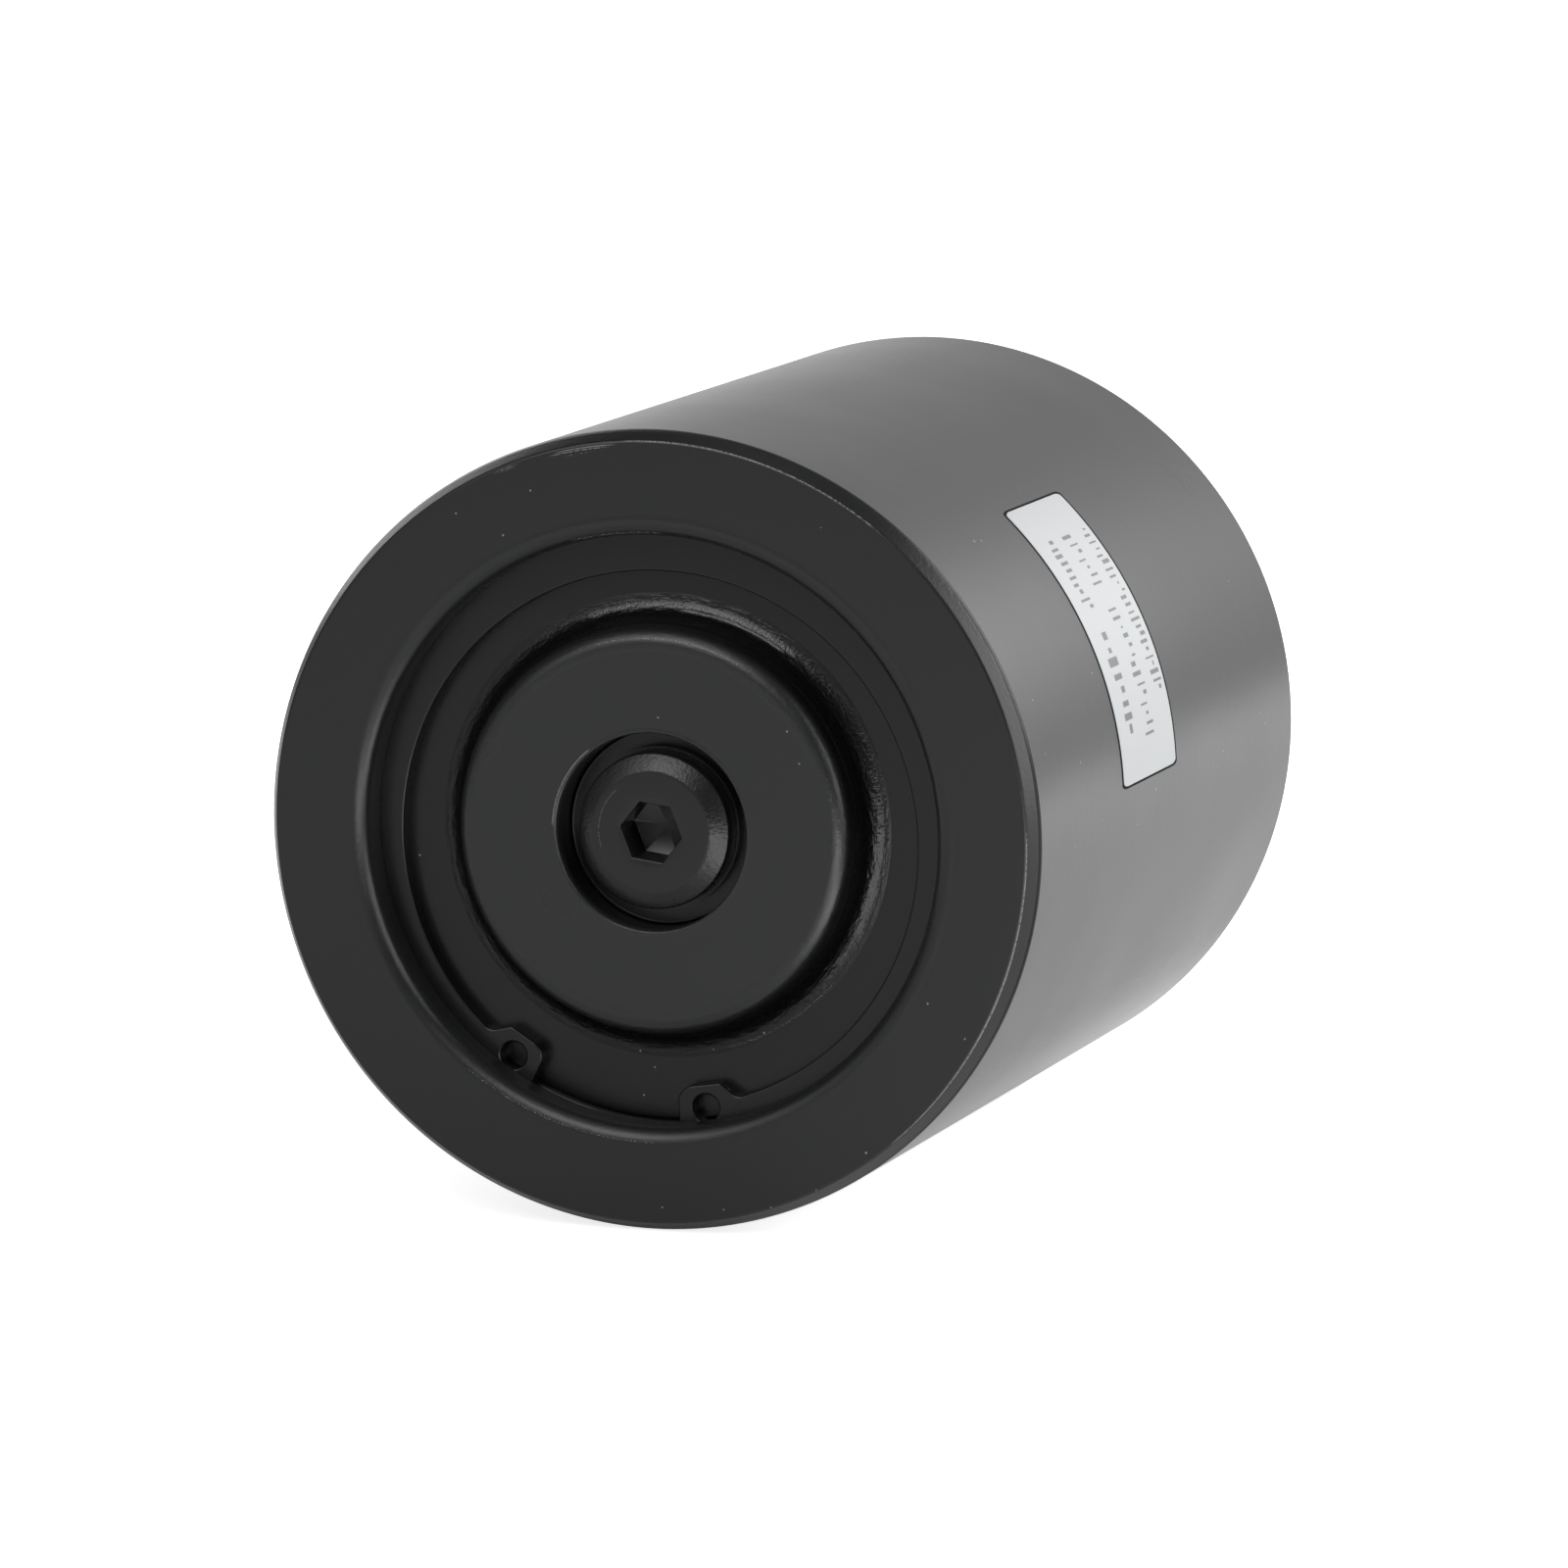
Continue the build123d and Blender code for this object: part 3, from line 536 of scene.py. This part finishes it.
def broken_arc(tree, where, radius, half_width, start, end, cover=0.5):
    """A mask along an arc, start to end in degrees; cover is how much of it the noise leaves."""
    across = between(tree, where["Radius"], radius - half_width, radius + half_width, half_width)
    along = between(tree, where["Angle"], start, end, 2.0)
    spread = add_node(tree, "ShaderNodeMapping", Vector=where["Around"], Scale=(9.0, 2.6, 0.0))
    noise = add_node(tree, "ShaderNodeTexNoise", Vector=spread.outputs[0], Scale=1.0, Detail=3.0)
    bare_below = 0.62 - 0.25 * cover
    full_above = 0.67 - 0.25 * cover
    left = add_node(
        tree, "ShaderNodeMapRange", Value=noise.outputs["Fac"], From_Min=bare_below, From_Max=full_above,
    )
    return sum_of(tree, "MULTIPLY", sum_of(tree, "MULTIPLY", across, along), left.outputs["Result"])


def speck_mask(tree, spots):
    """Round specks at given places, as (radius, angle, depth, speck radius)."""
    place = add_node(tree, "ShaderNodeTexCoord").outputs["Object"]
    mask = 0.0
    for radius, angle, depth, size in spots:
        gap = add_node(tree, "ShaderNodeVectorMath", operation="DISTANCE")
        tree.links.new(place, gap.inputs[0])
        spot = Vector((cos(radians(angle)), 0, sin(radians(angle)))) * radius * mm
        gap.inputs[1].default_value = spot + Vector((0, station(depth), 0))
        mask = sum_of(tree, "MAXIMUM", mask, sum_of(tree, "LESS_THAN", gap.outputs["Value"], size * mm))
    return mask


def ring_zone(tree, where, inner, outer, front, back, soft=0.4):
    """A mask for the ring between two radii and two depths."""
    radial = between(tree, where["Radius"], inner, outer, soft)
    return sum_of(tree, "MULTIPLY", radial, between(tree, where["Depth"], front, back, soft))


# %% [markdown]
# ## Black satin paint
# The paint is nearly black: what is seen is its gloss. The tread looks pale because it is seen
# almost edge on, where any glossy film turns into a mirror of the white room, and a smoother one
# the flatter it is seen. Specks, chips and scratches show a paler, drier paint, and the same pale
# paint is laid on some curved edges as a painted highlight.

# %% Paint material
paint_black = 0.016
# The next two levels are the same paint: darker as painted shade in the recess, paler as painted light
# on the raised boss.
shaded_recess_black = 0.005
lit_boss_black = 0.022
plug_black = 0.012
paint_roughness = 0.29
roughness_spread = 0.08
wear_and_highlight_roughness = 0.15
grazing_start = 0.86
grazing_end = 0.95
grazing_share = 0.7
# A pale grey for wear, also used for painted highlights.
wear_and_highlight_grey = (0.30, 0.30, 0.29, 1)


def new_material(name):
    material = bpy.data.materials.new(name)
    material.use_nodes = True
    return material, material.node_tree, material.node_tree.nodes["Principled BSDF"]


def cool_black(level):
    """A paint colour of this lightness, a little blue."""
    return (0.97 * level, level, 1.04 * level, 1)


def mixed(tree, factor, first, second):
    """Two colours mixed by a mask; each is a colour or a socket."""
    mix = add_node(tree, "ShaderNodeMix", data_type="RGBA")
    sockets = [socket for socket in mix.inputs if socket.type == "RGBA"]
    tree.links.new(factor, mix.inputs[0])
    for socket, colour in zip(sockets, (first, second)):
        if isinstance(colour, bpy.types.NodeSocket):
            tree.links.new(colour, socket)
        else:
            socket.default_value = colour
    return next(socket for socket in mix.outputs if socket.type == "RGBA")


def painted(name, level, peel=0.006, grain=0.002, zones=(), arcs=(), spots=()):
    """Satin paint; zones get creases, as (ring_zone's values, crease, grit), and arcs are pale: chips
    and painted highlights.
    """
    material, tree, surface = new_material(name)
    where = use_group(tree, polar)
    extra = 0.0
    for limits, crease, grit in zones:
        pucker = use_group(tree, creases, Crease=crease, Grit=grit)["Height"]
        extra = sum_of(tree, "MULTIPLY_ADD", ring_zone(tree, where, *limits), pucker, extra)
    coat = use_group(tree, skin, Peel=peel, Grain=grain, Extra=extra)
    tree.links.new(coat["Normal"], surface.inputs["Normal"])
    wear_and_highlight = sum_of(tree, "MAXIMUM", coat["Dust Mask"], speck_mask(tree, spots))
    for arc in arcs:
        wear_and_highlight = sum_of(tree, "MAXIMUM", wear_and_highlight, broken_arc(tree, where, *arc))
    tree.links.new(mixed(tree, wear_and_highlight, cool_black(level), wear_and_highlight_grey), surface.inputs["Base Color"])
    least_rough = paint_roughness - roughness_spread / 2
    rough = sum_of(tree, "MULTIPLY_ADD", coat["Blotch"], roughness_spread, least_rough)
    facing = add_node(tree, "ShaderNodeLayerWeight", Blend=0.5).outputs["Facing"]
    edge_on = add_node(
        tree, "ShaderNodeMapRange", Value=facing, From_Min=grazing_start, From_Max=grazing_end,
        To_Min=1.0, To_Max=grazing_share,
    )
    rough = sum_of(tree, "MULTIPLY", rough, edge_on.outputs["Result"])
    rough = sum_of(tree, "MULTIPLY_ADD", wear_and_highlight, wear_and_highlight_roughness, rough)
    tree.links.new(rough, surface.inputs["Roughness"])
    return material


# %% Barrel paint
rim_radius = tread_radius - rim_chamfer_height
barrel_paint = painted(
    "barrel_paint", paint_black, peel=0.008, grain=0.003,
    zones=[
        ((bore_radius - 0.2, bore_radius + 2.2, -0.5, 2.2), 0.02, 0.014),
        ((rim_radius - 0.2, tread_radius + 0.5, -0.5, 2.4), 0.008, 0.022),
    ],
    arcs=[
        (rim_radius - 0.32, 0.08, 94.5, 104.5, 1.0),
        (rim_radius - 0.52, 0.08, 95.5, 105.5, 0.7),
        (rim_radius - 0.85, 0.09, 97.0, 104.0, 0.2),
        (rim_radius - 0.32, 0.06, 110.0, 114.5, 0.9),
        (rim_radius - 0.5, 0.06, 110.5, 113.5, 0.7),
        # Pale lines along the chamfer's inner edge: worn corner paint, partly a painted highlight.
        (rim_radius, 0.08, 52.0, 94.0, 0.6),
        (rim_radius, 0.08, -50.0, 3.0, 0.9),
        (bore_radius + 0.35, 0.16, 87.0, 106.0, 0.35),
        (bore_radius + 1.45, 0.1, -128.0, -88.0, 0.3),
    ],
    spots=[
        # on the closed end's face
        (31.9, -43.0, 0.7, 0.11), (40.1, -53.6, 0.0, 0.12), (40.9, -70.8, 0.0, 0.10),
        (40.9, -63.3, 0.0, 0.09), (39.7, -29.9, 0.0, 0.09), (34.5, -28.2, 0.0, 0.10),
        (39.3, -87.7, 0.0, 0.09), (40.0, -78.0, 0.0, 0.08), (37.6, 109.7, 0.0, 0.09),
        (34.4, 117.1, 0.0, 0.10), (38.8, 122.5, 0.0, 0.09),
        # on the tread
        (tread_radius, 44.7, 18.4, 0.15), (tread_radius, 44.4, 20.4, 0.12),
        (tread_radius, 20.4, 7.6, 0.12), (tread_radius, 12.7, 6.9, 0.12),
        (tread_radius, 9.3, 18.4, 0.12), (tread_radius, 20.4, 29.9, 0.12),
    ],
)

# %% [markdown]
# ## A dull line beside the tread
# Where the rim's chamfer turns into the tread, the paint shows a thin dark line along the upper
# and right-hand part of the rim. The gloss is taken down there, so that the line mirrors little.

# %% Dull line
line_front = 1.45
line_back = 2.3
line_start = -75.0
line_end = 112.0
full_specular = 0.5
line_specular = 0.06

tree = barrel_paint.node_tree
where = use_group(tree, polar)
in_depth = between(tree, where["Depth"], line_front, line_back, 0.12)
in_angle = between(tree, where["Angle"], line_start, line_end, 10.0)
near_tread = between(tree, where["Radius"], tread_radius - 0.4, tread_radius + 0.2, 0.05)
edge_line = sum_of(tree, "MULTIPLY", sum_of(tree, "MULTIPLY", in_depth, in_angle), near_tread)
dull = sum_of(tree, "MULTIPLY_ADD", edge_line, line_specular - full_specular, full_specular)
tree.links.new(dull, tree.nodes["Principled BSDF"].inputs["Specular IOR Level"])

# %% Recess, plug and cover paint
# The ring and washer in the recess get the darker level, as painted shade.
shaded_recess_paint = painted("shaded_recess_paint", shaded_recess_black, grain=0.004)

chamfer_inside = plug_head_radius - plug_chamfer_width
plug_paint = painted(
    "plug_paint", plug_black,
    zones=[((chamfer_inside - 0.3, plug_head_radius + 0.3, -1.0, 4.0), 0.02, 0.035)],
    arcs=[(5.7, 0.07, 130.0, 179.0, 0.4), (5.7, 0.07, -179.0, -160.0, 0.4)],
)

foot_zone = (boss_radius + 0.4, boss_radius + 3.6, boss_top_depth + 2.2, cover_floor_depth + 0.4)
boss_edge_zone = (boss_radius - 2.0, boss_radius + 0.9, boss_top_depth - 0.3, boss_top_depth + 2.2)
counterbore_zone = (
    counterbore_radius - 0.2, counterbore_radius + 0.6, boss_top_depth - 0.4, boss_top_depth + 0.8,
)
# The cover gets the darker level, as painted shade in the recess.
cover_paint = painted(
    "cover_paint", shaded_recess_black,
    zones=[(foot_zone, 0.10, 0.05), (boss_edge_zone, 0.03, 0.02), (counterbore_zone, 0.05, 0.02)],
    arcs=[
        # The first arc is a pale line just outside the counterbore; the others are painted highlights in
        # pale paint at the boss's foot and edge.
        (counterbore_radius + 0.4, 0.12, 128.0, 179.0, 0.7),
        (boss_radius + 3.2, 0.15, -75.0, -40.0, 0.3),
        (boss_radius + 2.3, 0.35, 52.0, 112.0, 0.55),
        (boss_radius + 1.9, 0.14, 55.0, 86.0, 0.9),
        (boss_radius - 0.6, 0.12, 60.0, 108.0, 0.3),
    ],
    spots=[
        (23.9, -63.5, 6.5, 0.12), (24.2, -97.0, 6.5, 0.10), (25.7, -93.0, 6.5, 0.09),
        (28.8, -95.1, 6.5, 0.10), (24.0, -77.7, 6.5, 0.08), (12.1, 86.0, boss_top_depth, 0.09),
        (18.6, 37.0, boss_top_depth, 0.10), (18.0, 26.0, boss_top_depth, 0.09),
    ],
)

# %% Paler boss as painted light
# The boss is painted a little paler than the floor round it, fading over the first part of its wall:
# painted light on the raised boss against the painted shade of the recess.
boss_shade_start = 0.6
boss_shade_end = 1.6

tree = cover_paint.node_tree
where = use_group(tree, polar)
on_boss = add_node(
    tree, "ShaderNodeMapRange", Value=where["Depth"],
    From_Min=boss_top_depth + boss_shade_end, From_Max=boss_top_depth + boss_shade_start,
)
wear_and_highlight_mix = tree.nodes["Principled BSDF"].inputs["Base Color"].links[0].from_node
shade = mixed(tree, on_boss.outputs["Result"], cool_black(shaded_recess_black), cool_black(lit_boss_black))
tree.links.new(shade, [socket for socket in wear_and_highlight_mix.inputs if socket.type == "RGBA"][0])

# %% Dress the painted pieces


def dress(piece, material):
    piece.data.materials.clear()
    piece.data.materials.append(material)


dress(barrel, barrel_paint)
dress(nodes["seal_collar"], barrel_paint)
dress(cover, cover_paint)
dress(plug, plug_paint)
dress(nodes["cover_retaining_ring"], shaded_recess_paint)

# %% [markdown]
# ## Sticker print
# The print on the sticker is only a stand-in. Each word is a row of equal cells, and each cell
# holds one upright stroke of a random height and width. It fills the same places as print would,
# and it says nothing.

# %% Word group
word, word_in, word_out = new_group(
    "word_of_strokes",
    [("Low", 0.0), ("High", 1.0), ("Start", 0.0), ("End", 1.0), ("Strokes", 10.0), ("Boldness", 0.3)],
    [("Mask", "NodeSocketFloat")],
)
where = use_group(word, polar)
past_start = sum_of(word, "SUBTRACT", where["Angle"], word_in["Start"])
along = sum_of(word, "DIVIDE", past_start, sum_of(word, "SUBTRACT", word_in["End"], word_in["Start"]))
past_low = sum_of(word, "SUBTRACT", where["Depth"], word_in["Low"])
tall = sum_of(word, "DIVIDE", past_low, sum_of(word, "SUBTRACT", word_in["High"], word_in["Low"]))
cell = sum_of(word, "MULTIPLY", along, word_in["Strokes"])
seed = sum_of(word, "MULTIPLY_ADD", word_in["Low"], 17.3, sum_of(word, "FLOOR", cell))
chance = add_node(word, "ShaderNodeTexWhiteNoise", noise_dimensions="1D", W=seed).outputs["Color"]
picks = add_node(word, "ShaderNodeSeparateColor", Color=chance).outputs
width = sum_of(word, "MULTIPLY_ADD", picks["Red"], 0.35, word_in["Boldness"])
upright = between(word, sum_of(word, "FRACT", cell), 0.1, sum_of(word, "ADD", width, 0.1), 0.05)
foot = sum_of(word, "MULTIPLY", picks["Green"], 0.6)
head = sum_of(word, "MULTIPLY_ADD", picks["Blue"], -0.35, 1.0)
stroke = sum_of(word, "MULTIPLY", upright, between(word, tall, foot, head, 0.05))
within_length = between(word, along, 0.0, 1.0, 0.001)
within_height = between(word, tall, 0.0, 1.0, 0.01)
inside = sum_of(word, "MULTIPLY", within_length, within_height)
word.links.new(sum_of(word, "MULTIPLY", stroke, inside), word_out["Mask"])

# %% Sticker paper
ink = (0.11, 0.11, 0.115, 1)
# Darker than real white paper, because the light here is stronger than a plain level.
dimmed_paper = (0.41, 0.422, 0.434, 1)
words = [
    # low and high depth, first and last angle, strokes, boldness
    (49.3, 53.0, 14.0, 41.0, 23, 0.28),
    (43.0, 46.9, 31.6, 40.8, 7, 0.25),
    (43.0, 46.9, 8.4, 28.6, 14, 0.25),
    (36.4, 39.9, 28.8, 40.8, 10, 0.28),
    (36.3, 39.9, 9.6, 25.6, 8, 0.4),
]
paper, tree, surface = new_material("sticker_paper")
print_mask = 0.0
for low, high, start, end, strokes, boldness in words:
    row = use_group(
        tree, word, Low=low, High=high, Start=start, End=end, Strokes=strokes, Boldness=boldness,
    )
    print_mask = sum_of(tree, "MAXIMUM", print_mask, row["Mask"])
tree.links.new(mixed(tree, print_mask, dimmed_paper, ink), surface.inputs["Base Color"])
surface.inputs["Roughness"].default_value = 0.5
dress(sticker, paper)

# A near-black sheet under the sticker's edge: a painted shadow.
sticker_shadow_material, tree, surface = new_material("painted_sticker_shadow")
surface.inputs["Base Color"].default_value = (0.01, 0.01, 0.01, 1)
surface.inputs["Roughness"].default_value = 0.9
surface.inputs["Specular IOR Level"].default_value = 0.1
dress(painted_sticker_shadow, sticker_shadow_material)

# %% [markdown]
# ## Bare metals and rubber
# The parts inside are seen only when the roller is taken apart, but each still gets its own
# finish: ground steel for the shaft, polished rings and balls, pressed cages, lapped seal iron.

# %% Metals and rubber


def metal(name, colour, roughness, scale):
    material, tree, surface = new_material(name)
    place = add_node(tree, "ShaderNodeTexCoord").outputs["Object"]
    marks = add_node(tree, "ShaderNodeTexNoise", Vector=place, Scale=scale, Detail=3.0).outputs["Fac"]
    rough = sum_of(tree, "MULTIPLY_ADD", marks, 0.15, roughness - 0.07)
    tree.links.new(rough, surface.inputs["Roughness"])
    bump = add_node(tree, "ShaderNodeBump", Strength=0.2, Distance=0.01 * mm, Height=marks)
    tree.links.new(bump.outputs[0], surface.inputs["Normal"])
    surface.inputs["Base Color"].default_value = (*colour, 1)
    surface.inputs["Metallic"].default_value = 1.0
    return material


ground_steel = metal("ground_steel", (0.5, 0.5, 0.51), 0.3, 900)
polished_steel = metal("polished_steel", (0.62, 0.62, 0.63), 0.14, 1200)
pressed_steel = metal("pressed_steel", (0.33, 0.33, 0.34), 0.38, 700)
lapped_iron = metal("lapped_iron", (0.22, 0.22, 0.23), 0.32, 1500)
copper = metal("copper", (0.72, 0.43, 0.27), 0.35, 800)

rubber, tree, surface = new_material("black_rubber")
surface.inputs["Base Color"].default_value = (0.02, 0.02, 0.02, 1)
surface.inputs["Roughness"].default_value = 0.6

finishes = {
    "ground_steel": ground_steel,
    "bearing_steel": polished_steel,
    "spring_steel": pressed_steel,
    "seal_iron": lapped_iron,
    "copper": copper,
    "seal_rubber": rubber,
}
slot_of = {part["node"]: part["material_slot"] for part in frame["record"]["subparts"]}
for node_name, node in nodes.items():
    if slot_of[node_name] in finishes:
        dress(node, finishes[slot_of[node_name]])
dress(nodes["plug_washer"], shaded_recess_paint)

# %% [markdown]
# ## Room and light
# Black gloss shows little but its surroundings, so the room is built as what the paint should
# mirror. The sky is dark with a few soft bright lobes. The floor is nearly white to the camera,
# so that only a faint shadow is left, and to mirror rays it glows in a few places. Four soft
# lamps do the rest. A direction is an azimuth and an elevation: azimuth 0 faces the closed end,
# and 90 is the right-hand side.

# %% Directions and soft steps
lamp_distance = 0.75


def toward(azimuth, elevation):
    """The unit vector of a direction in the room."""
    level = cos(radians(elevation))
    to_right = sin(radians(azimuth)) * level
    to_back = -cos(radians(azimuth)) * level
    return Vector((to_right, to_back, sin(radians(elevation))))


def soft_step(tree, value, low, high, strength=1.0):
    """A smooth rise from 0 to this strength, as value goes from low to high."""
    step = add_node(
        tree, "ShaderNodeMapRange", interpolation_type="SMOOTHSTEP",
        Value=value, From_Min=low, From_Max=high, To_Max=strength,
    )
    return step.outputs["Result"]


# %% [markdown]
# ## Floor
# The strip lies under the roller and lights the underside of the tread, which is seen almost
# edge on. The round glows stand in front on the right and give the lip and the boss their shine.

# %% Floor
floor_size = 14.0
floor_behind = 0.2
floor_strip = 0.125
floor_whiteness = 0.8
floor_colour = (0.8, 0.8, 0.8, 1)
# Where the mirrored parts fade out and in, in metres from the roller's middle.
behind_none, behind_full = -0.08, 0.04
strip_none, strip_full = 0.07, 0.045
floor_glows = [
    # x, y and radius in metres, then strength
    (0.14, -0.25, 0.14, 6.7),
    (0.075, -0.095, 0.05, 4.3),
]
bm = bmesh.new()
bmesh.ops.create_grid(bm, x_segments=1, y_segments=1, size=floor_size / 2)
bmesh.ops.translate(bm, verts=bm.verts[:], vec=(0, 0, shell_low.z))
floor = finished(bm, "white_floor", weighted=False)

floor_material, tree, surface = new_material("white_floor")
surface.inputs["Base Color"].default_value = floor_colour
surface.inputs["Roughness"].default_value = 0.9
surface.inputs["Specular IOR Level"].default_value = 0.0
floor_place = add_node(tree, "ShaderNodeTexCoord").outputs["Object"]
floor_axes = add_node(tree, "ShaderNodeSeparateXYZ", Vector=floor_place).outputs
mirrored = soft_step(tree, floor_axes["Y"], behind_none, behind_full, floor_behind)
strip_side = soft_step(tree, floor_axes["X"], strip_none, strip_full)
strip_front = soft_step(tree, floor_axes["Y"], -strip_none, -strip_full)
strip = sum_of(tree, "MULTIPLY", strip_side, strip_front)
mirrored = sum_of(tree, "MULTIPLY_ADD", strip, floor_strip, mirrored)
for x, y, radius, strength in floor_glows:
    gap = add_node(tree, "ShaderNodeVectorMath", operation="DISTANCE")
    tree.links.new(floor_place, gap.inputs[0])
    gap.inputs[1].default_value = (x, y, shell_low.z)
    glow = sum_of(tree, "MULTIPLY_ADD", gap.outputs["Value"], -1 / radius, 1.0, clamp=True)
    mirrored = sum_of(tree, "MULTIPLY_ADD", glow, strength, mirrored)
rays = add_node(tree, "ShaderNodeLightPath").outputs
seen = sum_of(tree, "MAXIMUM", rays["Is Camera Ray"], rays["Is Transmission Ray"])
mirrored = sum_of(tree, "MULTIPLY", rays["Is Glossy Ray"], mirrored)
surface.inputs["Emission Color"].default_value = (1, 1, 1, 1)
to_eye = sum_of(tree, "MULTIPLY", seen, floor_whiteness)
tree.links.new(sum_of(tree, "MAXIMUM", to_eye, mirrored), surface.inputs["Emission Strength"])
dress(floor, floor_material)

# %% Sky and lamps
sky_lobes = [
    # azimuth, elevation and half width in degrees, then strength
    (180, 10, 60, 0.54),
    (140, 0, 50, 0.21),
    (-140, 0, 50, 0.18),
    (95, 10, 50, 2.5),
    (-15, 45, 40, 1.3),
    (-45, 10, 40, 0.40),
]
lamps = [
    # name, azimuth, elevation, width in metres, watts
    ("overhead_softbox", 0, 88, 0.5, 0.15),
    ("front_softbox", -10, 40, 0.4, 0.76),
    ("rear_right_softbox", 135, 25, 0.5, 4.4),
    ("rear_left_softbox", -135, 25, 0.5, 0.9),
]
world = bpy.data.worlds.new("white_room")
world.use_nodes = True
bpy.context.scene.world = world
tree = world.node_tree
background = tree.nodes["Background"]
direction = add_node(tree, "ShaderNodeTexCoord").outputs["Generated"]
sky = add_node(tree, "ShaderNodeLightPath").outputs["Is Camera Ray"]
for azimuth, elevation, half_width, strength in sky_lobes:
    aim = add_node(tree, "ShaderNodeVectorMath", operation="DOT_PRODUCT")
    tree.links.new(direction, aim.inputs[0])
    aim.inputs[1].default_value = toward(azimuth, elevation)
    lobe = soft_step(tree, aim.outputs["Value"], cos(radians(half_width)), 1.0, strength)
    sky = sum_of(tree, "ADD", sky, lobe)
background.inputs["Color"].default_value = (1, 1, 1, 1)
tree.links.new(sky, background.inputs["Strength"])

for name, azimuth, elevation, width, power in lamps:
    data = bpy.data.lights.new(name, "AREA")
    data.shape = "DISK"
    data.size = width
    data.energy = power
    lamp = bpy.data.objects.new(name, data)
    lamp.location = toward(azimuth, elevation) * lamp_distance
    lamp.rotation_euler = (-lamp.location).to_track_quat("-Z", "Y").to_euler()
    bpy.context.scene.collection.objects.link(lamp)

bpy.context.scene.view_settings.view_transform = "Standard"
